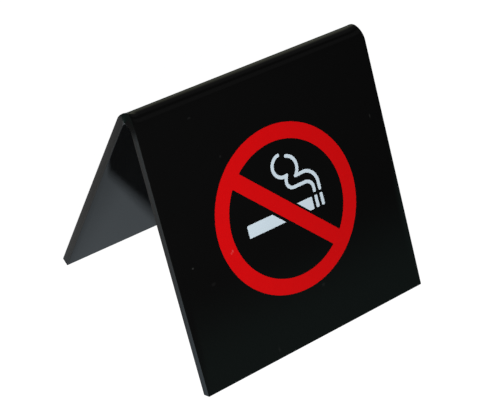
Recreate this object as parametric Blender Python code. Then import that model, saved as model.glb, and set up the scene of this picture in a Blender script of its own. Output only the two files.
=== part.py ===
"""No smoking table sign: gloss black acrylic, printed flat and folded over a heated line into a tent.

The sign is made here in the order in which the real one is made. A strip is cut to a flat blank and its
edges are eased, the pictogram is laid on it as thin films of ink, and the printed blank is folded over a
warm bar.
X runs along the fold, the printed face looks to -Y, and the origin is on the table under the fold's middle.
All lengths are in metres.
"""

import math

import bpy
import bmesh
import numpy as np
from mathutils import Matrix

# The blank
SHEET_WIDTH = 0.060
SHEET_THICKNESS = 0.002
LEG_LENGTH = 0.0573
EDGE_EASE = 0.0001
EDGE_EASE_SEGMENTS = 3

# The fold
LEG_LEAN = math.radians(25.35)
BEND_INNER_RADIUS = 0.00164
BEND_FACETS = 24
LEFT_LIP = 0.00055
RIGHT_LIP = 0.00025
LIP_REACH = 0.0027
LIP_LINES = 7
LEFT_DRAW_IN = 0.00021
RIGHT_DRAW_IN = 0.00006
LEG_LINES = 2

# The print, measured from the middle of the ring, with +y up the printed face
RING_BELOW_BEND = 0.0273
RING_OUTER_RADIUS = 0.01833
BAND_WIDTH = 0.0035
RING_FACETS = 96
SLASH_ANGLE = math.radians(44.1)
SLASH_BELOW_CENTRE = 0.00024
CLEAR_ABOVE_SLASH = 0.00046
CLEAR_BELOW_SLASH = 0.00067

CIGARETTE_LEFT = 0.01083
CIGARETTE_RIGHT = 0.00659
CIGARETTE_TOP = 0.00026
CIGARETTE_HEIGHT = 0.00278
CORNER_RADIUS = 0.0004
LINE_WIDTH = 0.00076
LINE_GAP = 0.00071
SMOKE_GAP = 0.00062

INNER_SMOKE_RISE = 0.00384
INNER_SMOKE_FIRST_BEND = 0.00178
INNER_SMOKE_SECOND_BEND = 0.00153
INNER_SMOKE_TURN_X = 0.00128
INNER_SMOKE_CORNER = (0.00177, 0.00685)
INNER_LOOP_CENTRE = (0.00113, 0.00921)
INNER_LOOP_RADIUS = 0.00246
INNER_LOOP_START = math.radians(264.0)
INNER_LOOP_END = math.radians(99.0)

OUTER_SMOKE_SHOULDER = 0.00272
OUTER_SMOKE_BEND = (0.00325, 0.00342)
OUTER_SMOKE_CORNER = (0.00387, 0.00604)
OUTER_SMOKE_PULL = (0.00454, 0.00666)
OUTER_LOOP_CENTRE = (0.00197, 0.00812)
OUTER_LOOP_RADIUS = 0.00281
OUTER_LOOP_START = math.radians(-13.0)
OUTER_LOOP_END = math.radians(76.0)

INK_HEIGHT = 0.00005
INK_KEY = 0.0003
ARC_STEP = math.radians(9.0)

# What follows from the sizes above
HALF_BEND = math.pi / 2 - LEG_LEAN
HALF_BEND_LENGTH = (BEND_INNER_RADIUS + SHEET_THICKNESS / 2) * HALF_BEND
HALF_BLANK = HALF_BEND_LENGTH + LEG_LENGTH
RING_INNER_RADIUS = RING_OUTER_RADIUS - BAND_WIDTH
RING_TOP = RING_BELOW_BEND - RING_OUTER_RADIUS
CIGARETTE_BOTTOM = CIGARETTE_TOP - CIGARETTE_HEIGHT
FIRST_ASH_X = CIGARETTE_RIGHT + LINE_GAP + LINE_WIDTH / 2
SECOND_ASH_X = FIRST_ASH_X + LINE_WIDTH + LINE_GAP
SMOKE_START = CIGARETTE_TOP + SMOKE_GAP + LINE_WIDTH / 2


def clear_scene():
    """Take every object out of the file, so that a second run starts clean."""
    for obj in list(bpy.data.objects):
        bpy.data.objects.remove(obj, do_unlink=True)


def new_collection(name):
    """Give a collection of this name in the scene."""
    collection = bpy.data.collections.get(name) or bpy.data.collections.new(name)
    if name not in bpy.context.scene.collection.children:
        bpy.context.scene.collection.children.link(collection)
    return collection


def principled(name, colour, roughness, ior):
    """A dielectric finish with the colour and gloss seen in the photograph."""
    material = bpy.data.materials.new(name)
    material.use_nodes = True
    shader = material.node_tree.nodes["Principled BSDF"]
    shader.inputs["Base Color"].default_value = (*colour, 1.0)
    shader.inputs["Roughness"].default_value = roughness
    shader.inputs["Metallic"].default_value = 0.0
    shader.inputs["IOR"].default_value = ior
    material.diffuse_color = (*colour, 1.0)
    return material


def arc(centre, radii, start, end):
    """Points along a circle or an ellipse from one angle to another, both ends included."""
    count = max(2, math.ceil(abs(end - start) / ARC_STEP) + 1)
    angles = np.linspace(start, end, count)
    return np.column_stack((centre[0] + radii[0] * np.cos(angles), centre[1] + radii[1] * np.sin(angles)))


def quadratic(start, pull, end, count=7):
    """Points along a curve from start to end that leans towards pull."""
    t = np.linspace(0.0, 1.0, count)[:, None]
    return (1 - t) ** 2 * np.array(start) + 2 * t * (1 - t) * np.array(pull) + t ** 2 * np.array(end)


def join_runs(*runs):
    """Runs of points one after another, with points that fall together counted once."""
    points = np.concatenate([np.atleast_2d(run) for run in runs])
    steps = np.linalg.norm(np.diff(points, axis=0), axis=1)
    return points[np.concatenate(([True], steps > LINE_WIDTH / 50))]


def rounded_rectangle(left, right, bottom, top, radius):
    """A rectangle with round corners, anticlockwise."""
    quarter = math.pi / 2
    corners = (
        (right - radius, bottom + radius, -quarter),
        (right - radius, top - radius, 0.0),
        (left + radius, top - radius, quarter),
        (left + radius, bottom + radius, 2 * quarter),
    )
    return join_runs(*(arc((x, y), (radius, radius), a, a + quarter) for x, y, a in corners))


def stroke(centre_line):
    """The outline of a pen stroke with round ends along a line of points."""
    along = np.gradient(centre_line, axis=0)
    along /= np.linalg.norm(along, axis=1)[:, None]
    side = np.column_stack((-along[:, 1], along[:, 0])) * LINE_WIDTH / 2
    heading = np.arctan2(along[:, 1], along[:, 0])
    half = (LINE_WIDTH / 2, LINE_WIDTH / 2)
    quarter = math.pi / 2
    far_end = arc(centre_line[-1], half, heading[-1] - quarter, heading[-1] + quarter)
    near_end = arc(centre_line[0], half, heading[0] + quarter, heading[0] + 3 * quarter)
    return join_runs(centre_line - side, far_end, (centre_line + side)[::-1], near_end)[:-1]


def slash_side(points):
    """How far each point lies above the slash's middle line, square to it."""
    return points @ np.array((math.sin(SLASH_ANGLE), math.cos(SLASH_ANGLE))) + SLASH_BELOW_CENTRE


def clip(outline, sense, limit):
    """The part of an outline that lies past a line beside the slash, above it or below it."""
    depth = sense * slash_side(outline) - limit
    kept = []
    for here, after, d_here, d_after in zip(outline, np.roll(outline, -1, 0), depth, np.roll(depth, -1)):
        if d_here >= 0:
            kept.append(here)
        if (d_here >= 0) != (d_after >= 0):
            kept.append(here + (after - here) * d_here / (d_here - d_after))
    return np.array(kept)


def ring_and_slash():
    """The red band: a disc with two openings, one on each side of the slash."""
    turn = np.linspace(0.0, 2 * math.pi, RING_FACETS, endpoint=False)
    circle = np.column_stack((np.cos(turn), np.sin(turn)))
    openings = [clip(circle * RING_INNER_RADIUS, sense, BAND_WIDTH / 2) for sense in (1, -1)]
    return [circle * RING_OUTER_RADIUS, *openings]


def cigarette_parts():
    """The cigarette, which stops short of the slash on both sides, and its two bars of ash."""
    low, high = CIGARETTE_BOTTOM, CIGARETTE_TOP
    whole = rounded_rectangle(-CIGARETTE_LEFT, CIGARETTE_RIGHT, low, high, CORNER_RADIUS)
    parts = {
        "cigarette_tip": clip(whole, 1, BAND_WIDTH / 2 + CLEAR_ABOVE_SLASH),
        "cigarette_end": clip(whole, -1, BAND_WIDTH / 2 + CLEAR_BELOW_SLASH),
    }
    for name, x in (("first_ash", FIRST_ASH_X), ("second_ash", SECOND_ASH_X)):
        left = x - LINE_WIDTH / 2
        parts[name] = rounded_rectangle(left, left + LINE_WIDTH, low, high, CORNER_RADIUS)
    return parts


def inner_smoke():
    """The smoke line over the first ash bar: up, left, up to a sharp corner, then round in an open loop."""
    first, second = INNER_SMOKE_FIRST_BEND, INNER_SMOKE_SECOND_BEND
    top = INNER_SMOKE_RISE
    turn_end = (INNER_SMOKE_TURN_X, top + second)
    loop = arc(INNER_LOOP_CENTRE, (INNER_LOOP_RADIUS,) * 2, INNER_LOOP_START, INNER_LOOP_END)
    rise = join_runs(
        (FIRST_ASH_X, SMOKE_START),
        arc((FIRST_ASH_X - first, top - first), (first, first), 0.0, math.pi / 2),
        arc((INNER_SMOKE_TURN_X + second, turn_end[1]), (second, second), math.pi * 3 / 2, math.pi),
        quadratic(turn_end, (INNER_SMOKE_TURN_X, turn_end[1] + second / 2), INNER_SMOKE_CORNER),
    )
    return {"inner_smoke_rise": rise, "inner_smoke_loop": join_runs(INNER_SMOKE_CORNER, loop)}


def outer_smoke():
    """The smoke line over the second ash bar: it sweeps over the first and turns back at a sharp corner."""
    across, up = OUTER_SMOKE_BEND
    sweep = arc((SECOND_ASH_X - across, OUTER_SMOKE_SHOULDER), (across, up), 0.0, math.pi / 2)
    loop = arc(OUTER_LOOP_CENTRE, (OUTER_LOOP_RADIUS,) * 2, OUTER_LOOP_START, OUTER_LOOP_END)
    rise = join_runs((SECOND_ASH_X, SMOKE_START), sweep, OUTER_SMOKE_CORNER)
    back = quadratic(OUTER_SMOKE_CORNER, OUTER_SMOKE_PULL, loop[0])
    return {"outer_smoke_rise": rise, "outer_smoke_loop": join_runs(back, loop)}


def ink_film(name, outlines, material, collection):
    """A film of ink on the flat blank: a flat curve, thick enough to key into the sheet below it."""
    curve = bpy.data.curves.new(name, "CURVE")
    curve.dimensions = "2D"
    curve.fill_mode = "BOTH"
    curve.extrude = (INK_HEIGHT + INK_KEY) / 2
    for outline in outlines:
        places = np.column_stack((outline, np.zeros(len(outline)), np.ones(len(outline))))
        spline = curve.splines.new("POLY")
        spline.points.add(len(outline) - 1)
        spline.points.foreach_set("co", places.ravel())
        spline.use_cyclic_u = True
    drawing = bpy.data.objects.new(name, curve)
    collection.objects.link(drawing)
    drawing.location.y = -(HALF_BEND_LENGTH + RING_BELOW_BEND)
    drawing.location.z = SHEET_THICKNESS + (INK_HEIGHT - INK_KEY) / 2
    bpy.context.view_layer.update()
    mesh = bpy.data.meshes.new_from_object(drawing.evaluated_get(bpy.context.evaluated_depsgraph_get()))
    mesh.transform(drawing.matrix_world)
    bpy.data.objects.remove(drawing, do_unlink=True)

    bm = bmesh.new()
    bm.from_mesh(mesh)
    bmesh.ops.remove_doubles(bm, verts=bm.verts, dist=LINE_WIDTH / 1000)
    bmesh.ops.recalc_face_normals(bm, faces=bm.faces)
    bm.to_mesh(mesh)
    bm.free()
    mesh.materials.clear()
    mesh.materials.append(material)
    film = bpy.data.objects.new(name, mesh)
    film.hide_render = True
    film.display_type = "WIRE"
    collection.objects.link(film)
    return film


def score(bm, place, square_to):
    """Draw an edge line right round the blank, where a plane crosses it."""
    everything = [*bm.verts, *bm.edges, *bm.faces]
    bmesh.ops.bisect_plane(bm, geom=everything, dist=1e-7, plane_co=place, plane_no=square_to)


def flat_blank(material, collection):
    """The cut blank, printed face up, with eased edges.

    It is scored across for each facet of the fold and over the print, and lengthwise near both ends of the
    fold, where the sheet changes shape.
    """
    bm = bmesh.new()
    size = Matrix.Diagonal((SHEET_WIDTH, 2 * HALF_BLANK, SHEET_THICKNESS, 1.0))
    lift = Matrix.Translation((0.0, 0.0, SHEET_THICKNESS / 2))
    bmesh.ops.create_cube(bm, size=1.0, matrix=lift @ size)
    ease = {"offset": EDGE_EASE, "segments": EDGE_EASE_SEGMENTS, "profile": 0.5, "affect": "EDGES"}
    bmesh.ops.bevel(bm, geom=list(bm.edges), **ease)
    creases = np.linspace(-HALF_BEND_LENGTH, HALF_BEND_LENGTH, BEND_FACETS + 1)
    over_print = HALF_BEND_LENGTH + RING_TOP * np.linspace(0.0, 0.9, LEG_LINES + 1)[1:]
    for line in (*creases, *over_print, *-over_print):
        score(bm, (0.0, line, 0.0), (0.0, 1.0, 0.0))
    near_end = SHEET_WIDTH / 2 - LIP_REACH * np.linspace(0.0, 1.0, LIP_LINES + 1)[1:]
    for line in (*near_end, *-near_end):
        score(bm, (line, 0.0, 0.0), (1.0, 0.0, 0.0))
    mesh = bpy.data.meshes.new("flat_blank")
    bm.to_mesh(mesh)
    bm.free()
    mesh.materials.append(material)
    blank = bpy.data.objects.new("flat_blank", mesh)
    collection.objects.link(blank)
    return blank


def fold(points):
    """Fold flat points over the warm bar and stand the sheet on the table, on its two inner lower edges.

    A point's distance along the blank turns into an angle about the bend's centre up to the end of the bend,
    and past that into a distance down the leg. At both ends of the fold the crown curls up in a short lip.
    The end face stays square to the lip, so its outer side leans in and its inner side flares out. The
    stretched sheet is also drawn in there, which fades down the legs.
    """
    x, along, height = points.T
    reach = -along
    in_bend = np.clip(reach, -HALF_BEND_LENGTH, HALF_BEND_LENGTH)
    angle = in_bend / HALF_BEND_LENGTH * HALF_BEND
    down_leg = reach - in_bend
    near_end = np.clip(1 + (np.abs(x) - SHEET_WIDTH / 2) / LIP_REACH, 0.0, 1.0)
    lip = np.where(x < 0, LEFT_LIP, RIGHT_LIP) * np.cos(math.pi / 2 * in_bend / HALF_BEND_LENGTH) ** 4
    lean = 2 * near_end * lip / LIP_REACH * (height - SHEET_THICKNESS / 2)
    up_leg = np.clip(1 - np.abs(down_leg) / LEG_LENGTH, 0.0, 1.0)
    draw_in = near_end ** 2 * np.where(x < 0, LEFT_DRAW_IN, RIGHT_DRAW_IN) * up_leg ** 2

    radius = BEND_INNER_RADIUS + height + near_end ** 2 * lip
    y = -radius * np.sin(angle) - down_leg * np.cos(angle)
    z = radius * np.cos(angle) - down_leg * np.sin(angle)
    return np.column_stack((x - np.sign(x) * (lean + draw_in), y, z - z.min()))


def print_and_fold(blank, films):
    """Join the ink to the blank, then fold the printed blank into the finished tent."""
    for film in films:
        joint = blank.modifiers.new(film.name, "BOOLEAN")
        joint.operation = "UNION"
        joint.object = film
        joint.solver = "MANIFOLD"
        joint.material_mode = "TRANSFER"
    bpy.context.view_layer.update()
    mesh = bpy.data.meshes.new_from_object(blank.evaluated_get(bpy.context.evaluated_depsgraph_get()))
    points = np.empty(len(mesh.vertices) * 3)
    mesh.vertices.foreach_get("co", points)
    mesh.vertices.foreach_set("co", fold(points.reshape(-1, 3)).ravel())
    mesh.update()
    return mesh


def main():
    """Build the sign as one solid, the folded and printed sheet."""
    clear_scene()
    sign_parts = new_collection("no_smoking_sign")
    flat_shapes = new_collection("flat_shapes")
    black = principled("black_acrylic", (0.006, 0.006, 0.007), 0.06, 1.49)
    red = principled("red_ink", (0.60, 0.0035, 0.0045), 0.35, 1.5)
    white = principled("white_ink", (0.56, 0.68, 0.75), 0.35, 1.5)

    blank = flat_blank(black, flat_shapes)
    outlines = cigarette_parts()
    outlines.update({name: stroke(line) for name, line in {**inner_smoke(), **outer_smoke()}.items()})
    films = [ink_film("ring_and_slash", ring_and_slash(), red, flat_shapes)]
    films += [ink_film(name, [outline], white, flat_shapes) for name, outline in outlines.items()]

    mesh = print_and_fold(blank, films)
    mesh.name = "folded_sheet"
    mesh.shade_smooth()
    mesh.set_sharp_from_angle(angle=math.radians(20.0))
    sign_parts.objects.link(bpy.data.objects.new("folded_sheet", mesh))
    for flat_shape in [blank, *films]:
        bpy.data.objects.remove(flat_shape, do_unlink=True)


main()
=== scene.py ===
"""Looks of the no smoking table sign: a strip of gloss black acrylic, folded once, with a printed pictogram.

The sheet and the print are worked out on the flat blank and carried into the folded sign by one map, as the
real sign is printed flat and folded afterwards. A place on the blank is (across, reach, height): across the
sheet to the right, reach from the fold's middle down the printed leg, and height over the inner face.
All lengths are in metres.
"""

import math

import bmesh
import bpy
import numpy as np
from mathutils import Matrix, Vector


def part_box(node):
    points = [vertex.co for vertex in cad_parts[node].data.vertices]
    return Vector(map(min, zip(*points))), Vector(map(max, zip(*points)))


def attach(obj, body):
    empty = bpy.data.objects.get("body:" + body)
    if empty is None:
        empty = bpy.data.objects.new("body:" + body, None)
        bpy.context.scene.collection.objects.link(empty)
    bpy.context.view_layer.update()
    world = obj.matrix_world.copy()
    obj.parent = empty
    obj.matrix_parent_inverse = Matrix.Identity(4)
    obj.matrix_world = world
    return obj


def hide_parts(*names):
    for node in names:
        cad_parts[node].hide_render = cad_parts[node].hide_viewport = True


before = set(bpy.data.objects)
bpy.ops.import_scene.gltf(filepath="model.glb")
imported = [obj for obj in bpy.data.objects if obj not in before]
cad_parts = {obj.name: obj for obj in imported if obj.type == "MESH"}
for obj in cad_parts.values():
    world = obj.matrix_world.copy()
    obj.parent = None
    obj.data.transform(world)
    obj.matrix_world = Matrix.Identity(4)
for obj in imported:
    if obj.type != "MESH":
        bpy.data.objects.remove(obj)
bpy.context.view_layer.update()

# The blank and its fold
SHEET_WIDTH = 0.060
SHEET_THICKNESS = 0.002
LEG_LENGTH = 0.0573
EDGE_EASE = 0.0001
LEG_LEAN = math.radians(25.35)
BEND_INNER_RADIUS = 0.00164
LEFT_LIP, RIGHT_LIP = 0.00055, 0.00025
LIP_REACH = 0.0027
LEFT_DRAW_IN, RIGHT_DRAW_IN = 0.00021, 0.00006

# The lattice of lines that the sheet is made on
LINES_ACROSS, LINES_OVER_LIP = 30, 14
LINES_ROUND_BEND, LINES_DOWN_LEG = 97, 24
LINES_THROUGH_SHEET = 7
FIRST_OVER_LIP = 0.08
ROUNDING_ANGLES = np.radians([45.0, 30.0, 15.0, 0.0])
FACE_SUPPORT, EDGE_SUPPORT = 0.0001, 0.00005

# The print, measured from the middle of the ring, with +y up the printed face
RING_BELOW_BEND = 0.0273
RING_OUTER_RADIUS = 0.01833
RING_FACETS = 192
BAND_WIDTH = 0.0035
SLASH_ANGLE = math.radians(44.1)
SLASH_BELOW_CENTRE = 0.00024
SLASH_END_IN_BAND = 0.55
CLEAR_ABOVE_SLASH = 0.00046
CLEAR_BELOW_SLASH = 0.00067

CIGARETTE_LEFT = 0.01083
CIGARETTE_RIGHT = 0.00659
CIGARETTE_TOP = 0.00026
CIGARETTE_HEIGHT = 0.00278
CORNER_RADIUS = 0.0002
LINE_WIDTH = 0.00076
LINE_GAP = 0.00071
SMOKE_GAP = 0.00062

INNER_SMOKE_RISE = 0.00384
INNER_SMOKE_FIRST_BEND = 0.00178
INNER_SMOKE_SECOND_BEND = 0.00153
INNER_SMOKE_TURN_X = 0.00128
INNER_SMOKE_CORNER = (0.00177, 0.00685)
INNER_LOOP_CENTRE = (0.00113, 0.00921)
INNER_LOOP_RADIUS = 0.00246
INNER_LOOP_ENDS = (math.radians(264.0), math.radians(99.0))

OUTER_SMOKE_SHOULDER = 0.00272
OUTER_SMOKE_BEND = (0.00325, 0.00342)
OUTER_SMOKE_CORNER = (0.00387, 0.00604)
OUTER_SMOKE_PULL = (0.00454, 0.00666)
OUTER_LOOP_CENTRE = (0.00197, 0.00812)
OUTER_LOOP_RADIUS = 0.00281
OUTER_LOOP_ENDS = (math.radians(-13.0), math.radians(76.0))

INK_HEIGHT = 0.00005
INK_KEY = 0.00002
INK_EDGE = 0.000012
INK_EDGE_FROM = math.radians(50.0)

# What follows from the sizes above, and the fold's height from the frame
HALF_BEND = math.pi / 2 - LEG_LEAN
HALF_BEND_LENGTH = (BEND_INNER_RADIUS + SHEET_THICKNESS / 2) * HALF_BEND
FOOT_BELOW_BEND = (
    (LEG_LENGTH - EDGE_EASE) * math.sin(HALF_BEND)
    + EDGE_EASE
    - (BEND_INNER_RADIUS + EDGE_EASE) * math.cos(HALF_BEND)
)
BEND_CENTRE_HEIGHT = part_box("folded_sheet")[0].z + FOOT_BELOW_BEND
RING_REACH = HALF_BEND_LENGTH + RING_BELOW_BEND
CIGARETTE_BOTTOM = CIGARETTE_TOP - CIGARETTE_HEIGHT
FIRST_ASH_X = CIGARETTE_RIGHT + LINE_GAP + LINE_WIDTH / 2
SECOND_ASH_X = FIRST_ASH_X + LINE_WIDTH + LINE_GAP
SMOKE_START = CIGARETTE_TOP + SMOKE_GAP + LINE_WIDTH / 2


def fold(places):
    """Carry places on the flat blank into the folded sign.

    Up to the end of the bend, reach turns into an angle about the bend's centre line: reach divided by the
    radius of the sheet's middle. Past it, reach runs straight down the leg. At both ends of the fold the
    crown lifts by the square of its nearness to the end, in a lip that fades with the fourth power of a
    cosine, which is 1 at the crown and 0 where the bend stops. Each place leans over by the lip's slope times
    its height over the sheet's middle, so the end face stays square to the lip. The ends are drawn in as
    well, by the squares of that nearness and of what is left of the leg.
    """
    across, reach, height = np.moveaxis(np.asarray(places, float), -1, 0)
    in_bend = np.clip(reach, -HALF_BEND_LENGTH, HALF_BEND_LENGTH)
    angle = in_bend / HALF_BEND_LENGTH * HALF_BEND
    down_leg = reach - in_bend
    near_end = np.clip(1 + (np.abs(across) - SHEET_WIDTH / 2) / LIP_REACH, 0.0, 1.0)
    lip = np.where(across < 0, LEFT_LIP, RIGHT_LIP) * np.cos(math.pi / 2 * in_bend / HALF_BEND_LENGTH) ** 4
    lean = 2 * near_end * lip / LIP_REACH * (height - SHEET_THICKNESS / 2)
    up_leg = np.clip(1 - np.abs(down_leg) / LEG_LENGTH, 0.0, 1.0)
    draw_in = near_end**2 * np.where(across < 0, LEFT_DRAW_IN, RIGHT_DRAW_IN) * up_leg**2

    radius = BEND_INNER_RADIUS + height + near_end**2 * lip
    y = -radius * np.sin(angle) - down_leg * np.cos(angle)
    z = BEND_CENTRE_HEIGHT + radius * np.cos(angle) - down_leg * np.sin(angle)
    return np.stack((across - np.sign(across) * (lean + draw_in), y, z), axis=-1)


def skin(lattice, ring=False):
    """The outer skin of a block of points, shape (i, j, k, 3): its points, a quad for each cell of each side,
    and which of the block's points are on it. A block that is a ring closes on itself along j, where it has
    no sides."""
    on_skin = np.ones(lattice.shape[:3], bool)
    on_skin[1:-1, 1:-1, 1:-1] = False
    number = np.cumsum(on_skin).reshape(on_skin.shape) - 1
    ends = () if ring else (number[:, 0], number[:, -1])
    if ring:
        number = np.concatenate((number, number[:, :1]), axis=1)
    sides = (number[0], number[-1], number[:, :, 0], number[:, :, -1], *ends)
    corners = [(n[:-1, :-1], n[1:, :-1], n[1:, 1:], n[:-1, 1:]) for n in sides]
    quads = [np.stack(side, axis=-1).reshape(-1, 4) for side in corners]
    return lattice[on_skin], np.concatenate(quads), on_skin


def closed_mesh(name, points, quads, joined=True):
    """A mesh from points and quads, with its faces turned outwards. Points that fall together are joined
    first, unless every point has to keep its number."""
    mesh = bpy.data.meshes.new(name)
    mesh.from_pydata(points.tolist(), [], quads.tolist())
    bm = bmesh.new()
    bm.from_mesh(mesh)
    if joined:
        bmesh.ops.remove_doubles(bm, verts=bm.verts, dist=1e-7)
        bmesh.ops.dissolve_degenerate(bm, edges=bm.edges, dist=1e-8)
    bmesh.ops.recalc_face_normals(bm, faces=bm.faces)
    bm.to_mesh(mesh)
    bm.free()
    return mesh


def keep_on_mesh(mesh, name, values):
    """Keep a place or a number for each point of a mesh, for its material to read."""
    kind, field = ("FLOAT_VECTOR", "vector") if np.ndim(values) == 2 else ("FLOAT", "value")
    attribute = mesh.attributes.new(name, kind, "POINT")
    attribute.data.foreach_set(field, np.asarray(values, np.float32).ravel())


def new_piece(name, mesh, material):
    """Put a mesh into the scene as a piece of the sign, at the origin."""
    mesh.materials.clear()
    mesh.materials.append(material)
    piece = bpy.data.objects.new(name, mesh)
    bpy.context.scene.collection.objects.link(piece)
    return piece


def eased_lines(low, high, inner_lines, support):
    """Lattice lines from low to high: those of the rounding at each end, one beside it that keeps the face
    flat, and the inner lines that lie clear of these. A rounding's lines stand at ease * tan(angle) from
    where the flat starts, for even steps of angle."""
    rounding = EDGE_EASE * (1 - np.tan(ROUNDING_ANGLES))
    start = np.append(low + rounding, low + EDGE_EASE + support)
    end = np.append(high - rounding, high - EDGE_EASE - support)
    clear = (inner_lines > start[-1] + support) & (inner_lines < end[-1] - support)
    return np.sort(np.concatenate((start, inner_lines[clear], end)))


def sheet_mesh():
    """The folded sheet: a slab with rounded edges, laid out flat as a lattice and then folded.

    A point on the slab's box is drawn back to the box made smaller by the rounding's radius, and from there
    pushed out again by that radius, which rounds every edge and corner. How far it was pushed sideways, as a
    share, tells the material where the cut edges are.
    """
    half_width, half_blank = SHEET_WIDTH / 2, HALF_BEND_LENGTH + LEG_LENGTH
    over_lip = half_width - LIP_REACH * np.linspace(FIRST_OVER_LIP, 1.0, LINES_OVER_LIP)
    middle = np.linspace(-over_lip[-1], over_lip[-1], LINES_ACROSS)[1:-1]
    across = eased_lines(-half_width, half_width, np.concatenate((-over_lip, middle, over_lip)), FACE_SUPPORT)
    bend = np.linspace(-HALF_BEND_LENGTH, HALF_BEND_LENGTH, LINES_ROUND_BEND)
    leg = np.linspace(HALF_BEND_LENGTH, half_blank, LINES_DOWN_LEG + 1)[1:]
    reach = eased_lines(-half_blank, half_blank, np.concatenate((-leg, bend, leg)), FACE_SUPPORT)
    through = np.linspace(0.0, SHEET_THICKNESS, LINES_THROUGH_SHEET)
    height = eased_lines(0.0, SHEET_THICKNESS, through, EDGE_SUPPORT)

    box = np.stack(np.meshgrid(across, reach, height, indexing="ij"), axis=-1)
    core = np.clip(box, box[0, 0, 0] + EDGE_EASE, box[-1, -1, -1] - EDGE_EASE)
    out = box - core
    length = np.maximum(np.linalg.norm(out, axis=-1, keepdims=True), 1e-9)
    places, quads, on_skin = skin(core + out * EDGE_EASE / length)

    mesh = closed_mesh("folded_acrylic", fold(places), quads, joined=False)
    sideways = np.linalg.norm(out[..., :2], axis=-1) / length[..., 0]
    keep_on_mesh(mesh, "blank_place", places)
    keep_on_mesh(mesh, "cut_edge", sideways[on_skin])
    mesh.shade_smooth()
    return mesh


def arc(centre, radii, start, end, step=math.radians(4.5)):
    """Points along a circle or an ellipse from one angle to another, both ends included."""
    angles = np.linspace(start, end, max(2, math.ceil(abs(end - start) / step) + 1))
    return np.column_stack((centre[0] + radii[0] * np.cos(angles), centre[1] + radii[1] * np.sin(angles)))


def quadratic(start, pull, end, count=13):
    """Points along a curve from start to end that leans towards pull."""
    t = np.linspace(0.0, 1.0, count)[:, None]
    return (1 - t) ** 2 * np.array(start) + 2 * t * (1 - t) * np.array(pull) + t**2 * np.array(end)


def join_runs(*runs):
    """Runs of points one after another, with points that fall together counted once."""
    points = np.concatenate([np.atleast_2d(run) for run in runs])
    steps = np.linalg.norm(np.diff(points, axis=0), axis=1)
    return points[np.concatenate(([True], steps > LINE_WIDTH / 50))]


def film_lattice(left, right):
    """A film of ink between two lines of points on the print, as a block of points two wide and two high."""
    sides = np.stack((left, right))
    low = np.append(sides, np.full(sides.shape[:2] + (1,), -INK_KEY), axis=-1)
    high = np.append(sides, np.full(sides.shape[:2] + (1,), INK_HEIGHT), axis=-1)
    return np.stack((low, high), axis=2)


def pen_line(name, path, width):
    """A line of ink with round ends: two edges at half the width either side of a path.

    Past each end the edges close in on the path along a half circle: at angle a from its start they stand
    half * cos(a) apart from the path, half * sin(a) beyond its end.
    """
    along = np.gradient(path, axis=0)
    along /= np.linalg.norm(along, axis=1)[:, None]
    half = np.full(len(path), width / 2)
    close = np.radians(np.linspace(10.0, 90.0, 9))
    beyond = np.sin(close)[:, None] * width / 2
    path = np.concatenate((path[0] - beyond[::-1] * along[0], path, path[-1] + beyond * along[-1]))
    along = np.concatenate((np.repeat(along[:1], len(close), 0), along, np.repeat(along[-1:], len(close), 0)))
    half = np.concatenate((np.cos(close[::-1]) * width / 2, half, np.cos(close) * width / 2))
    side = np.column_stack((-along[:, 1], along[:, 0])) * half[:, None]
    points, quads, _ = skin(film_lattice(path + side, path - side))
    return closed_mesh(name, points, quads)


def ring_mesh(name):
    """The ring: a film between two circles, closed on itself."""
    turn = np.linspace(0.0, 2 * math.pi, RING_FACETS, endpoint=False)
    circle = np.column_stack((np.cos(turn), np.sin(turn)))
    inner_radius = RING_OUTER_RADIUS - BAND_WIDTH
    points, quads, _ = skin(film_lattice(circle * inner_radius, circle * RING_OUTER_RADIUS), ring=True)
    return closed_mesh(name, points, quads)


def slash_mesh(name):
    """The slash, down to the right, with its round ends inside the ring's band."""
    along = np.array((math.cos(SLASH_ANGLE), -math.sin(SLASH_ANGLE)))
    middle = -SLASH_BELOW_CENTRE * np.array((math.sin(SLASH_ANGLE), math.cos(SLASH_ANGLE)))
    half_length = RING_OUTER_RADIUS - SLASH_END_IN_BAND * BAND_WIDTH
    return pen_line(name, np.array((middle - half_length * along, middle + half_length * along)), BAND_WIDTH)


def block_rows():
    """Heights of the rows of a block of the cigarette, closer together over the round corners."""
    corner = CORNER_RADIUS * (1 - np.cos(np.radians(np.linspace(0.0, 90.0, 10))))
    return np.concatenate((CIGARETTE_BOTTOM + corner, CIGARETTE_TOP - corner[::-1]))


def round_side(x, outward):
    """The x of an upright edge at each row, drawn in along a quarter circle over each corner."""
    rows = block_rows()
    over_corner = np.maximum(CORNER_RADIUS - np.minimum(rows - CIGARETTE_BOTTOM, CIGARETTE_TOP - rows), 0.0)
    return x - outward * (CORNER_RADIUS - np.sqrt(CORNER_RADIUS**2 - over_corner**2))


def side_by_slash(above, clear):
    """The x at each row of an edge that runs beside the slash, clear of it, above it (1) or below it (-1)."""
    off_middle = above * (BAND_WIDTH / 2 + clear) - SLASH_BELOW_CENTRE
    return (off_middle - block_rows() * math.cos(SLASH_ANGLE)) / math.sin(SLASH_ANGLE)


def block_mesh(name, left, right):
    """A block of the cigarette or its ash between two upright edges, each given by its x at each row."""
    rows = block_rows()
    points, quads, _ = skin(film_lattice(np.column_stack((left, rows)), np.column_stack((right, rows))))
    return closed_mesh(name, points, quads)


def ash_mesh(name, x):
    """A bar of ash, a line's width across."""
    return block_mesh(name, round_side(x - LINE_WIDTH / 2, -1), round_side(x + LINE_WIDTH / 2, 1))


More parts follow.
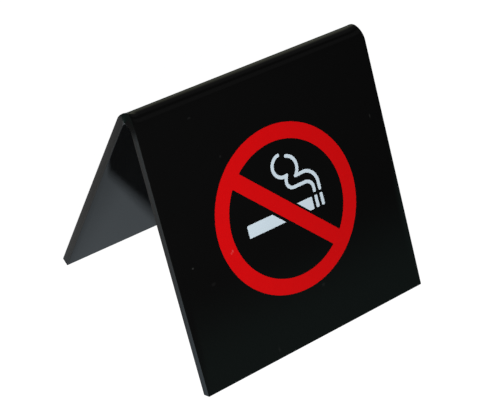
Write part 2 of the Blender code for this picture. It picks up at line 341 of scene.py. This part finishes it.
def inner_smoke_paths():
    """The smoke over the first bar of ash: up, left, up to a sharp corner, then round in an open loop."""
    first, second = INNER_SMOKE_FIRST_BEND, INNER_SMOKE_SECOND_BEND
    top = INNER_SMOKE_RISE
    turn_end = (INNER_SMOKE_TURN_X, top + second)
    rise = join_runs(
        (FIRST_ASH_X, SMOKE_START),
        arc((FIRST_ASH_X - first, top - first), (first, first), 0.0, math.pi / 2),
        arc((INNER_SMOKE_TURN_X + second, turn_end[1]), (second, second), math.pi * 3 / 2, math.pi),
        quadratic(turn_end, (INNER_SMOKE_TURN_X, turn_end[1] + second / 2), INNER_SMOKE_CORNER),
    )
    loop = arc(INNER_LOOP_CENTRE, (INNER_LOOP_RADIUS,) * 2, *INNER_LOOP_ENDS)
    return rise, join_runs(INNER_SMOKE_CORNER, loop)


def outer_smoke_paths():
    """The smoke over the second bar of ash, which sweeps over the first and turns back at a sharp corner."""
    across, up = OUTER_SMOKE_BEND
    sweep = arc((SECOND_ASH_X - across, OUTER_SMOKE_SHOULDER), (across, up), 0.0, math.pi / 2)
    loop = arc(OUTER_LOOP_CENTRE, (OUTER_LOOP_RADIUS,) * 2, *OUTER_LOOP_ENDS)
    rise = join_runs((SECOND_ASH_X, SMOKE_START), sweep, OUTER_SMOKE_CORNER)
    return rise, join_runs(quadratic(OUTER_SMOKE_CORNER, OUTER_SMOKE_PULL, loop[0]), loop)


def printed(name, material, *films):
    """Print films of ink as one piece: joined while flat, and then folded with the blank."""
    whole = bpy.data.objects.new(name, films[0])
    bpy.context.scene.collection.objects.link(whole)
    others = [bpy.data.objects.new(film.name, film) for film in films[1:]]
    for other in others:
        bpy.context.scene.collection.objects.link(other)
        joint = whole.modifiers.new(other.name, "BOOLEAN")
        joint.operation = "UNION"
        joint.object = other
        joint.solver = "EXACT"
    bpy.context.view_layer.update()
    mesh = bpy.data.meshes.new_from_object(whole.evaluated_get(bpy.context.evaluated_depsgraph_get()))
    for flat_film in (whole, *others):
        bpy.data.objects.remove(flat_film, do_unlink=True)

    places = np.empty(len(mesh.vertices) * 3)
    mesh.vertices.foreach_get("co", places)
    places = places.reshape(-1, 3) * (1, -1, 1) + (0, RING_REACH, SHEET_THICKNESS)
    mesh.vertices.foreach_set("co", fold(places).ravel())
    keep_on_mesh(mesh, "blank_place", places)
    mesh.update()
    piece = new_piece(name, mesh, material)
    soft_edge = piece.modifiers.new("soft_edge", "BEVEL")
    soft_edge.width = INK_EDGE
    soft_edge.segments = 2
    soft_edge.limit_method = "ANGLE"
    soft_edge.angle_limit = INK_EDGE_FROM
    return piece


# Node trees


def add_node(tree, kind, inputs=None, **settings):
    """Add a node. Each input is given the value that it has or the socket that feeds it."""
    node = tree.nodes.new(kind)
    for name, value in settings.items():
        setattr(node, name, value)
    for name, value in (inputs or {}).items():
        if isinstance(value, bpy.types.NodeSocket):
            tree.links.new(value, node.inputs[name])
        else:
            node.inputs[name].default_value = value
    return node


def maths(tree, operation, *values):
    """The result of a maths node."""
    return add_node(tree, "ShaderNodeMath", dict(enumerate(values)), operation=operation).outputs[0]


def vector_maths(tree, operation, *values, output="Vector"):
    """The result of a vector maths node."""
    node = add_node(tree, "ShaderNodeVectorMath", dict(enumerate(values)), operation=operation)
    return node.outputs[output]


def multiplied(tree, first, *others):
    """The product of several masks or numbers."""
    for other in others:
        first = maths(tree, "MULTIPLY", first, other)
    return first


def rest_of(tree, share):
    """What a share leaves of 1."""
    return maths(tree, "SUBTRACT", 1.0, share)


def ramp(tree, value, zero_at, one_at):
    """A soft step from 0, where the value is zero_at, to 1, where it is one_at."""
    inputs = {"Value": value, "From Min": zero_at, "From Max": one_at}
    return add_node(tree, "ShaderNodeMapRange", inputs, interpolation_type="SMOOTHSTEP").outputs["Result"]


def mixed(tree, share, first, second):
    """A colour between two, by share."""
    node = add_node(tree, "ShaderNodeMix", {"Factor": share}, data_type="RGBA")
    for socket, colour in zip([s for s in node.inputs if s.type == "RGBA"], (first, second)):
        if isinstance(colour, bpy.types.NodeSocket):
            tree.links.new(colour, socket)
        else:
            socket.default_value = (*colour, 1.0)
    return next(s for s in node.outputs if s.type == "RGBA")


def noise(tree, place, scale, detail=2.0):
    """A soft noise about 0.5."""
    inputs = {"Vector": place, "Scale": scale, "Detail": detail}
    return add_node(tree, "ShaderNodeTexNoise", inputs).outputs["Fac"]


def part_of(tree, place, axis):
    """One part of a place on the blank: X across, Y reach or Z height."""
    return add_node(tree, "ShaderNodeSeparateXYZ", {0: place}).outputs[axis]


def new_group(name, inputs, outputs):
    """A shader node group with named inputs and outputs, given as name: (socket type, value)."""
    group = bpy.data.node_groups.new(name, "ShaderNodeTree")
    for label, (kind, value) in inputs.items():
        socket = group.interface.new_socket(label, in_out="INPUT", socket_type=kind)
        if value is not None:
            socket.default_value = value
    for label, kind in outputs.items():
        group.interface.new_socket(label, in_out="OUTPUT", socket_type=kind)
    return group, group.nodes.new("NodeGroupInput"), group.nodes.new("NodeGroupOutput")


def use_group(tree, group, inputs):
    """Place a node group in a tree with its own values, and give its outputs."""
    return add_node(tree, "ShaderNodeGroup", inputs, node_tree=group).outputs


# Marks on the sign. Limits run from where a mask is 0 to where it is 1.

DUST_SPACING, FLECK_SIZE = 0.0016, 0.05
DUST_ON_ACRYLIC, DUST_ON_INK = 0.012, 0.03
SCRATCH_STRETCH = (60.0, 1400.0, 60.0)
SCRATCH_TURN = 0.5
SCRATCH_LIMITS = (0.006, 0.0)
PATCH_SCALE = 140.0
PATCH_LIMITS = (0.52, 0.68)
SPECK_LIMITS = (1.0, 0.2)
SPECKS = (
    ((0.02646, 0.01885), (0.00016, 0.00065), 0.028),
    ((-0.02567, 0.03330), (0.00029, 0.00029), 0.048),
    ((-0.01564, 0.03357), (0.00027, 0.00042), 0.100),
    ((-0.01605, 0.03390), (0.00030, 0.00038), 0.060),
    ((-0.01746, 0.00410), (0.00055, 0.00030), 0.0105),
    ((-0.01274, 0.01394), (0.00035, 0.00035), 0.0125),
    ((-0.02202, 0.03831), (0.00080, 0.00050), 0.0065),
    ((0.00415, 0.04942), (0.00060, 0.00055), 0.0100),
    ((-0.01072, 0.05818), (0.00035, 0.00090), 0.0075),
)


def dust_group():
    """Fine dust: a few small flecks, each at a point of its own in a cell about as wide as Spacing."""
    inputs = {
        "Place": ("NodeSocketVector", None),
        "Spacing": ("NodeSocketFloat", DUST_SPACING),
        "Fleck": ("NodeSocketFloat", FLECK_SIZE),
    }
    group, given, result = new_group("dust", inputs, {"Mask": "NodeSocketFloat"})
    cells = {"Vector": given.outputs["Place"], "Scale": maths(group, "DIVIDE", 1.0, given.outputs["Spacing"])}
    voronoi = add_node(group, "ShaderNodeTexVoronoi", cells).outputs
    chance = add_node(group, "ShaderNodeSeparateColor", {"Color": voronoi["Color"]}).outputs
    radius = maths(group, "MULTIPLY", chance["Red"], given.outputs["Fleck"])
    fleck = ramp(group, voronoi["Distance"], radius, 0.0)
    group.links.new(multiplied(group, fleck, chance["Green"]), result.inputs["Mask"])
    return group


def scratch_group():
    """Hairline scratches: thin broken lines where a noise that is drawn out along one direction crosses its
    middle."""
    inputs = {"Place": ("NodeSocketVector", None), "Turn": ("NodeSocketFloat", 0.0)}
    group, given, result = new_group("scratches", inputs, {"Mask": "NodeSocketFloat"})
    turn = {"Vector": given.outputs["Place"], "Angle": given.outputs["Turn"]}
    turned = add_node(group, "ShaderNodeVectorRotate", turn, rotation_type="Z_AXIS").outputs["Vector"]
    drawn = noise(group, vector_maths(group, "MULTIPLY", turned, SCRATCH_STRETCH), 1.0, 1.0)
    off_middle = maths(group, "ABSOLUTE", maths(group, "SUBTRACT", drawn, 0.5))
    here = ramp(group, noise(group, given.outputs["Place"], PATCH_SCALE), *PATCH_LIMITS)
    group.links.new(multiplied(group, ramp(group, off_middle, *SCRATCH_LIMITS), here), result.inputs["Mask"])
    return group


def speck_group():
    """The pale specks that the sign carries: an upright fleck by the right edge, one left of the ring, a
    slanted one on it, made of two, and five faint ones near the fold, round the ring and near the foot. Each
    is given by its place on the blank, its half width and half height, and its strength."""
    inputs = {"Place": ("NodeSocketVector", None)}
    group, given, result = new_group("specks", inputs, {"Mask": "NodeSocketFloat"})
    total = 0.0
    for (across, reach), (half_width, half_height), strength in SPECKS:
        off = vector_maths(group, "SUBTRACT", given.outputs["Place"], (across, reach, SHEET_THICKNESS))
        shares = vector_maths(group, "MULTIPLY", off, (1 / half_width, 1 / half_height, 1 / half_width))
        spot = ramp(group, vector_maths(group, "LENGTH", shares, output="Value"), *SPECK_LIMITS)
        total = maths(group, "MULTIPLY_ADD", spot, strength, total)
    group.links.new(total, result.inputs["Mask"])
    return group


# Materials

GLOSS_BLACK = (0.003, 0.003, 0.003)
# The sawn edges' colours are painted sheen and shade, not the sheet's own colour: lighter on the back leg,
# bluer on the front leg and near black by the inner face.
SAWN_INNER_SIDE_PAINTED_SHADE = (0.003, 0.0032, 0.0034)
SAWN_BACK_LEG_PAINTED_SHEEN = (0.014, 0.013, 0.013)
SAWN_FRONT_LEG_PAINTED_SHEEN = (0.005, 0.0095, 0.0125)
FRONT_LEG_LIMITS = (-0.001, 0.001)
PRINTED_SIDE_LIMITS = (0.0003, 0.0018)
DUSTY_ACRYLIC, DUSTY_INK = (0.55, 0.55, 0.53), (0.6, 0.6, 0.58)

CUT_LIMITS = (0.8, 1.0)
ROLL_REACH, ROLL_DEPTH = 0.0018, 0.00008
SCRAPED_WIDTH, SCRAPE_FADE = 0.00028, 0.0001
HEATED_START, HEATED_END = (-0.0017, -0.0012), (0.0055, 0.0016)
HEATED_LEAN = 0.32

CLOUD_SCALE = 90.0
GLOSS, GLOSS_CLOUD = 0.02, 0.03
CUT_DULLING, MARK_DULLING = 0.15, 0.06
SATIN, SATIN_CLOUD = 0.32, 0.12
SAW_MARK_STRETCH = (9000.0, 9000.0, 700.0)
SAW_MARK_HEIGHT, SCRATCH_DEPTH = 0.000004, 0.0000004

RED, WORN_RED = (0.62, 0.0022, 0.0034), (0.605, 0.0020, 0.0032)
WHITE, WORN_WHITE = (0.60, 0.695, 0.77), (0.585, 0.68, 0.755)
INK_CLOUD_SCALE = 450.0
WEAR_LIMITS = (0.3, 0.7)
INK_ROUGHNESS, INK_CLOUD = 0.22, 0.08
GRAIN_SCALE, GRAIN_HEIGHT = 4200.0, 0.0000015


def new_material(name):
    """A material with its shader, and the place on the blank that its patterns follow."""
    material = bpy.data.materials.new(name)
    material.use_nodes = True
    tree = material.node_tree
    shader = tree.nodes["Principled BSDF"]
    place = add_node(tree, "ShaderNodeAttribute", attribute_name="blank_place").outputs["Vector"]
    return material, tree, shader, place


def marked(tree, place, body, dust, specks, dust_share, dusty_colour):
    """A colour with dust and the pale specks on it, and where the dust lies."""
    dusty = use_group(tree, dust, {"Place": place, "Spacing": DUST_SPACING, "Fleck": FLECK_SIZE})["Mask"]
    pale = use_group(tree, specks, {"Place": place})["Mask"]
    return mixed(tree, maths(tree, "MULTIPLY_ADD", dusty, dust_share, pale), body, dusty_colour), dusty


def edge_form(tree, place, cut):
    """Heights for the bump beside the long cut edges, where the sheet's faces roll over by the square of
    their nearness to the edge, as they are buffed there."""
    inside = maths(tree, "SUBTRACT", SHEET_WIDTH / 2, maths(tree, "ABSOLUTE", part_of(tree, place, "X")))
    nearness = maths(tree, "MAXIMUM", maths(tree, "MULTIPLY_ADD", inside, -1 / ROLL_REACH, 1.0), 0.0)
    return multiplied(tree, maths(tree, "POWER", nearness, 2.0), -ROLL_DEPTH, rest_of(tree, cut))


def heated_end(tree, place, cut):
    """Where the heat of the fold has glazed the cut edge, as a mask, and its normal there. The end face leans
    out with the lip, by the fourth power of the cosine of the angle. The glaze adds what that leaves of 1, so
    its lean is about the same all round."""
    reach = part_of(tree, place, "Y")
    heated = multiplied(tree, ramp(tree, reach, *HEATED_START), ramp(tree, reach, *HEATED_END))
    share = maths(tree, "MINIMUM", maths(tree, "DIVIDE", reach, HALF_BEND_LENGTH), 1.0)
    share = maths(tree, "MAXIMUM", share, -1.0)
    lip = maths(tree, "POWER", maths(tree, "COSINE", maths(tree, "MULTIPLY", share, math.pi / 2)), 4.0)
    lean = multiplied(tree, rest_of(tree, lip), heated, cut, HEATED_LEAN)
    angle = maths(tree, "MULTIPLY", share, HALF_BEND)
    parts = {"Y": multiplied(tree, maths(tree, "SINE", angle), -1.0), "Z": maths(tree, "COSINE", angle)}
    outward = add_node(tree, "ShaderNodeCombineXYZ", parts).outputs["Vector"]
    normal = add_node(tree, "ShaderNodeNewGeometry").outputs["Normal"]
    leaned = vector_maths(tree, "MULTIPLY_ADD", outward, lean, normal)
    return heated, vector_maths(tree, "NORMALIZE", leaned)


def acrylic_material(dust, scratches, specks):
    """Gloss black acrylic. Its cut edges are sawn and rubbed down, so they are satin, with fine marks across
    them and a scraped, glossier corner on either side. Round the fold the heat has glazed them. The sawn
    edges' colour
    is painted sheen: lighter on the back leg, bluer on the front leg and near black by the inner face."""
    material, tree, shader, place = new_material("black_acrylic")
    sideways = add_node(tree, "ShaderNodeAttribute", attribute_name="cut_edge").outputs["Fac"]
    cut = ramp(tree, sideways, *CUT_LIMITS)
    height = part_of(tree, place, "Z")
    off_middle = maths(tree, "ABSOLUTE", maths(tree, "SUBTRACT", height, SHEET_THICKNESS / 2))
    scrape_start = SHEET_THICKNESS / 2 - SCRAPED_WIDTH
    unscraped = ramp(tree, off_middle, scrape_start + SCRAPE_FADE, scrape_start)
    heated, end_normal = heated_end(tree, place, cut)
    satin_share = multiplied(tree, cut, unscraped, rest_of(tree, heated))

    # Painted sheen on the sawn edges: a lighter colour on the back leg, a bluer one on the front leg, near
    # black by the inner face. The scraped corners and the glazed end keep the gloss black, so the corners
    # also read as a darker painted line along each edge.
    to_front_leg = ramp(tree, part_of(tree, place, "Y"), *FRONT_LEG_LIMITS)
    sawn_leg_painted_sheen = mixed(tree, to_front_leg, SAWN_BACK_LEG_PAINTED_SHEEN, SAWN_FRONT_LEG_PAINTED_SHEEN)
    sawn = mixed(tree, ramp(tree, height, *PRINTED_SIDE_LIMITS), SAWN_INNER_SIDE_PAINTED_SHADE, sawn_leg_painted_sheen)
    body = mixed(tree, satin_share, GLOSS_BLACK, sawn)
    colour, dusty = marked(tree, place, body, dust, specks, DUST_ON_ACRYLIC, DUSTY_ACRYLIC)
    tree.links.new(colour, shader.inputs["Base Color"])

    cloud = noise(tree, place, CLOUD_SCALE, 3.0)
    scratched = use_group(tree, scratches, {"Place": place, "Turn": SCRATCH_TURN})["Mask"]
    gloss = maths(tree, "MULTIPLY_ADD", cloud, GLOSS_CLOUD, GLOSS)
    gloss = maths(tree, "MULTIPLY_ADD", cut, CUT_DULLING, gloss)
    gloss = maths(tree, "MULTIPLY_ADD", maths(tree, "ADD", dusty, scratched), MARK_DULLING, gloss)
    satin = maths(tree, "MULTIPLY_ADD", cloud, SATIN_CLOUD, SATIN)
    roughness = add_node(tree, "ShaderNodeMix", {"Factor": satin_share, "A": gloss, "B": satin})
    tree.links.new(roughness.outputs["Result"], shader.inputs["Roughness"])

    saw_marks = noise(tree, vector_maths(tree, "MULTIPLY", place, SAW_MARK_STRETCH), 1.0)
    form = multiplied(tree, saw_marks, satin_share, SAW_MARK_HEIGHT)
    form = maths(tree, "MULTIPLY_ADD", scratched, -SCRATCH_DEPTH, form)
    form = maths(tree, "ADD", form, edge_form(tree, place, cut))
    bump = add_node(tree, "ShaderNodeBump", {"Height": form, "Distance": 1.0, "Normal": end_normal})
    tree.links.new(bump.outputs["Normal"], shader.inputs["Normal"])
    shader.inputs["IOR"].default_value = 1.49
    return material


def ink_material(name, fresh, worn, dust, specks):
    """Screen ink: semi-gloss, a little uneven in colour and with the faint texture of the screen."""
    material, tree, shader, place = new_material(name)
    cloud = noise(tree, place, INK_CLOUD_SCALE, 4.0)
    body = mixed(tree, ramp(tree, cloud, *WEAR_LIMITS), fresh, worn)
    colour, _ = marked(tree, place, body, dust, specks, DUST_ON_INK, DUSTY_INK)
    tree.links.new(colour, shader.inputs["Base Color"])
    roughness = maths(tree, "MULTIPLY_ADD", cloud, INK_CLOUD, INK_ROUGHNESS)
    tree.links.new(roughness, shader.inputs["Roughness"])
    grain = multiplied(tree, noise(tree, place, GRAIN_SCALE), GRAIN_HEIGHT)
    bump = add_node(tree, "ShaderNodeBump", {"Height": grain, "Distance": 1.0})
    tree.links.new(bump.outputs["Normal"], shader.inputs["Normal"])
    shader.inputs["Specular IOR Level"].default_value = 0.3
    shader.inputs["IOR"].default_value = 1.5
    return material


# The sign

dust, scratches, specks = dust_group(), scratch_group(), speck_group()
black = acrylic_material(dust, scratches, specks)
red = ink_material("red_ink", RED, WORN_RED, dust, specks)
white = ink_material("white_ink", WHITE, WORN_WHITE, dust, specks)

sheet = new_piece("folded_acrylic", sheet_mesh(), black)
ring_and_slash = printed("ring_and_slash", red, ring_mesh("ring"), slash_mesh("slash"))
tip_left, tip_right = side_by_slash(1, CLEAR_ABOVE_SLASH), round_side(CIGARETTE_RIGHT, 1)
end_left, end_right = round_side(-CIGARETTE_LEFT, -1), side_by_slash(-1, CLEAR_BELOW_SLASH)
white_print = [
    printed("cigarette_tip", white, block_mesh("tip", tip_left, tip_right)),
    printed("cigarette_end", white, block_mesh("end", end_left, end_right)),
    printed("first_ash", white, ash_mesh("first", FIRST_ASH_X)),
    printed("second_ash", white, ash_mesh("second", SECOND_ASH_X)),
    printed("inner_smoke", white, *(pen_line("line", path, LINE_WIDTH) for path in inner_smoke_paths())),
    printed("outer_smoke", white, *(pen_line("line", path, LINE_WIDTH) for path in outer_smoke_paths())),
]
slots = [(sheet, "black_acrylic"), (ring_and_slash, "red_ink")]
slots += [(piece, "white_ink") for piece in white_print]
for piece, slot in slots:
    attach(piece, "root")
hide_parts("folded_sheet")

# The floor, the room and the lamp. Floor and room are white to the camera and dimmer in the sign's gloss.

TABLE_HALF_SIDE = 3.0
FLOOR_TONE = (0.66, 0.75, 0.82)
LEFT_TONE = (0.74, 0.74, 0.73)
LEFT_LIMITS, BEHIND_LIMITS = (-0.028, -0.036), (-0.02, 0.02)
# A painted shadow on the floor as the gloss finds it: darker before this line, full tone past it.
SHADOW_LINE_ACROSS, SHADOW_LINE_LIMITS = (0.571, 0.821, 0.0), (0.0015, 0.0085)
PAINTED_SHADOW_LEVEL = 0.76
FAR_LIMITS, IN_FRONT_LIMITS = (0.10, 0.14), (-0.03, -0.05)
FLOOR_BEHIND = (0.09, 0.093, 0.074)
SHADOW_TONE = 0.16
NEAR_WHITE_PAINTED_SHADE = 0.985

BEHIND, BEHIND_SPREAD = (0.743, 0.669, 0.0), (0.80, 0.97)
RIGHT_OF_GLOW, RIGHT_LIMITS = (0.743, -0.669, 0.0), (0.08, -0.10)
GLOW_BEHIND = (0.26, 0.268, 0.21)
GLOW_IN_FRONT = (0.055, 0.095, 0.085)
GLOW_AT_SIDE, SIDE_LIMITS = (0.085, 0.086, 0.083), (0.75, 0.95)
HORIZON_LIMITS = (0.0, 0.06)
REST_OF_ROOM = (0.014, 0.014, 0.014)

# Far lamps that only the gloss finds: azimuth, elevation, the cosine of the glow's rim, and level
SIDE_LAMP = (math.radians(103.0), math.radians(58.0), 0.965, 0.04)
BACK_LAMP = (math.radians(50.0), math.radians(35.0), 0.93, 0.045)
HIGH_LAMP = (math.radians(-2.0), math.radians(46.0), 0.93, 0.5)
LAMP_CORE = 0.995

# What lights the sign: the even light of the room and the lamp
ROOM_LIGHT = (0.12, 0.12, 0.12)
KEY_AZIMUTH, KEY_ELEVATION = math.radians(40.2), math.radians(28.0)
KEY_DISTANCE, KEY_SIDE = 0.28, 0.020
KEY_LEVEL = 1.03
RING_CENTRE = Vector(fold((0.0, RING_REACH, SHEET_THICKNESS)))


def horizon_group():
    """What the sign's gloss finds low in the room: how far a direction lies in the warm glow behind the sign,
    which ends on the right, and the dimmer colour around it, which is cool but for the sides."""
    outputs = {"Behind": "NodeSocketFloat", "Around": "NodeSocketColor"}
    group, given, result = new_group("horizon", {"Toward": ("NodeSocketVector", None)}, outputs)
    toward = given.outputs["Toward"]
    facing = vector_maths(group, "DOT_PRODUCT", toward, BEHIND, output="Value")
    to_the_right = vector_maths(group, "DOT_PRODUCT", toward, RIGHT_OF_GLOW, output="Value")
    behind = multiplied(group, ramp(group, facing, *BEHIND_SPREAD), ramp(group, to_the_right, *RIGHT_LIMITS))
    group.links.new(behind, result.inputs["Behind"])
    at_side = ramp(group, maths(group, "ABSOLUTE", part_of(group, toward, "X")), *SIDE_LIMITS)
    group.links.new(mixed(group, at_side, GLOW_IN_FRONT, GLOW_AT_SIDE), result.inputs["Around"])
    return group


def floor_in_gloss(tree, place, off, horizon):
    """The floor as the sign's gloss finds it: a cool grey that holds the shadow, neutral at the left behind
    the sign and darker on one side of a line, a painted shadow. Farther off it glows like the horizon."""
    across, back = part_of(tree, place, "X"), part_of(tree, place, "Y")
    at_left = multiplied(tree, ramp(tree, across, *LEFT_LIMITS), ramp(tree, back, *BEHIND_LIMITS))
    tone = mixed(tree, at_left, FLOOR_TONE, LEFT_TONE)
    # Painted shadow: the floor's tone drops to the lower level on the near side of the line.
    past_shadow_line = vector_maths(tree, "DOT_PRODUCT", place, SHADOW_LINE_ACROSS, output="Value")
    level = maths(tree, "MULTIPLY_ADD", ramp(tree, past_shadow_line, *SHADOW_LINE_LIMITS), 1 - PAINTED_SHADOW_LEVEL, PAINTED_SHADOW_LEVEL)
    with_painted_shadow = add_node(tree, "ShaderNodeVectorMath", {0: tone, "Scale": level}, operation="SCALE")
    near = add_node(tree, "ShaderNodeBsdfDiffuse", {"Color": with_painted_shadow.outputs["Vector"]})

    low = use_group(tree, horizon, {"Toward": vector_maths(tree, "NORMALIZE", place)})
    glow_colour = mixed(tree, low["Behind"], low["Around"], FLOOR_BEHIND)
    glow = add_node(tree, "ShaderNodeEmission", {"Color": glow_colour})
    far = maths(tree, "MAXIMUM", off, ramp(tree, back, *IN_FRONT_LIMITS))
    return add_node(tree, "ShaderNodeMixShader", {0: far, 1: near.outputs[0], 2: glow.outputs[0]}).outputs[0]


def floor_material(horizon):
    """A pale table: white to the camera, with a faint shadow near the sign, partly the lamp's real shadow and
    partly a painted shade where the table's own glow is lower.
    """
    material = bpy.data.materials.new("table")
    material.use_nodes = True
    tree = material.node_tree
    tree.nodes.clear()
    place = add_node(tree, "ShaderNodeTexCoord").outputs["Object"]
    off = ramp(tree, vector_maths(tree, "LENGTH", place, output="Value"), *FAR_LIMITS)
    # Painted shade: the table's own glow is a little lower near the sign than far off, so that the lamp's
    # shadow shows there.
    whiteness_with_painted_shade = maths(tree, "MULTIPLY_ADD", off, 1 - NEAR_WHITE_PAINTED_SHADE, NEAR_WHITE_PAINTED_SHADE)
    lift = add_node(tree, "ShaderNodeEmission", {"Strength": whiteness_with_painted_shade})
    shadow = add_node(tree, "ShaderNodeBsdfDiffuse", {"Color": (SHADOW_TONE, SHADOW_TONE, SHADOW_TONE, 1.0)})
    shown = add_node(tree, "ShaderNodeAddShader", {0: lift.outputs[0], 1: shadow.outputs[0]})
    seen = add_node(tree, "ShaderNodeLightPath").outputs["Is Camera Ray"]
    in_gloss = floor_in_gloss(tree, place, off, horizon)
    both = add_node(tree, "ShaderNodeMixShader", {0: seen, 1: in_gloss, 2: shown.outputs[0]})
    add_node(tree, "ShaderNodeOutputMaterial", {"Surface": both.outputs[0]})
    return material


def make_floor(horizon):
    """The table that the sign stands on."""
    mesh = bpy.data.meshes.new("table")
    half = TABLE_HALF_SIDE
    corners = [(-half, -half, 0), (half, -half, 0), (half, half, 0), (-half, half, 0)]
    mesh.from_pydata(corners, [], [(0, 1, 2, 3)])
    mesh.materials.append(floor_material(horizon))
    table = bpy.data.objects.new("table", mesh)
    bpy.context.scene.collection.objects.link(table)


def lamp_glow(tree, toward, azimuth, elevation, rim, level):
    """The soft round glow of a far lamp, out to the angle whose cosine is rim. Azimuth is measured from the
    back towards the right."""
    low_part = math.cos(elevation)
    aim = (math.sin(azimuth) * low_part, math.cos(azimuth) * low_part, math.sin(elevation))
    facing = vector_maths(tree, "DOT_PRODUCT", toward, aim, output="Value")
    return multiplied(tree, ramp(tree, facing, rim, LAMP_CORE), level)


def make_room(horizon):
    """The room. To the camera it is white. In the gloss the glow behind the sign fades slowly upwards, the
    one around it ends just over the horizon, and three soft lamps stand out. Everything else gets an even low
    light."""
    world = bpy.data.worlds.new("room")
    bpy.context.scene.world = world
    world.use_nodes = True
    tree = world.node_tree
    tree.nodes.clear()
    toward = add_node(tree, "ShaderNodeTexCoord").outputs["Generated"]
    low = use_group(tree, horizon, {"Toward": toward})
    over_horizon = ramp(tree, part_of(tree, toward, "Z"), *HORIZON_LIMITS)
    around = mixed(tree, over_horizon, low["Around"], REST_OF_ROOM)
    in_gloss = mixed(tree, low["Behind"], around, GLOW_BEHIND)
    for lamp in (SIDE_LAMP, BACK_LAMP, HIGH_LAMP):
        in_gloss = vector_maths(tree, "ADD", in_gloss, lamp_glow(tree, toward, *lamp))

    path = add_node(tree, "ShaderNodeLightPath").outputs
    unseen = mixed(tree, path["Is Glossy Ray"], ROOM_LIGHT, in_gloss)
    shown = mixed(tree, path["Is Camera Ray"], unseen, (1.0, 1.0, 1.0))
    background = add_node(tree, "ShaderNodeBackground", {"Color": shown})
    add_node(tree, "ShaderNodeOutputWorld", {"Surface": background.outputs[0]})


def make_key_lamp():
    """A square lamp aimed at the ring, with its azimuth measured from the front towards the left. At level 1
    alone it would show the colour of a face turned to it as it is written."""
    low_part = math.cos(KEY_ELEVATION)
    left, front = math.sin(KEY_AZIMUTH) * low_part, math.cos(KEY_AZIMUTH) * low_part
    away = Vector((-left, -front, math.sin(KEY_ELEVATION)))
    light = bpy.data.lights.new("key_lamp", "AREA")
    light.size = KEY_SIDE
    light.energy = KEY_LEVEL * math.pi**2 * KEY_DISTANCE**2
    lamp = bpy.data.objects.new("key_lamp", light)
    lamp.location = RING_CENTRE + away * KEY_DISTANCE
    lamp.rotation_mode = "QUATERNION"
    lamp.rotation_quaternion = away.to_track_quat("Z", "Y")
    lamp.visible_glossy = False
    bpy.context.scene.collection.objects.link(lamp)


horizon = horizon_group()
make_floor(horizon)
make_room(horizon)
make_key_lamp()

# The camera

CAMERA_PLACE = (-0.15929, -0.19644, 0.21231)
CAMERA_AZIMUTH = math.radians(39.398)
CAMERA_TILT = math.radians(37.416)
CAMERA_ROLL = math.radians(1.838)
SENSOR_WIDTH, LENS = 36.0, 104.31


def make_camera():
    """The camera at the photograph's place: turned from +Y towards +X, tilted down and rolled to its left."""
    data = bpy.data.cameras.new("camera")
    data.sensor_width = SENSOR_WIDTH
    data.lens = LENS
    data.clip_start = 0.01
    data.clip_end = 10.0
    turn = Matrix.Rotation(-CAMERA_AZIMUTH, 4, "Z")
    tilt = Matrix.Rotation(math.pi / 2 - CAMERA_TILT, 4, "X")
    roll = Matrix.Rotation(CAMERA_ROLL, 4, "Z")
    camera = bpy.data.objects.new("camera", data)
    camera.matrix_world = Matrix.Translation(CAMERA_PLACE) @ turn @ tilt @ roll
    bpy.context.scene.collection.objects.link(camera)
    bpy.context.scene.camera = camera


make_camera()
bpy.context.scene.view_settings.view_transform = "Standard"
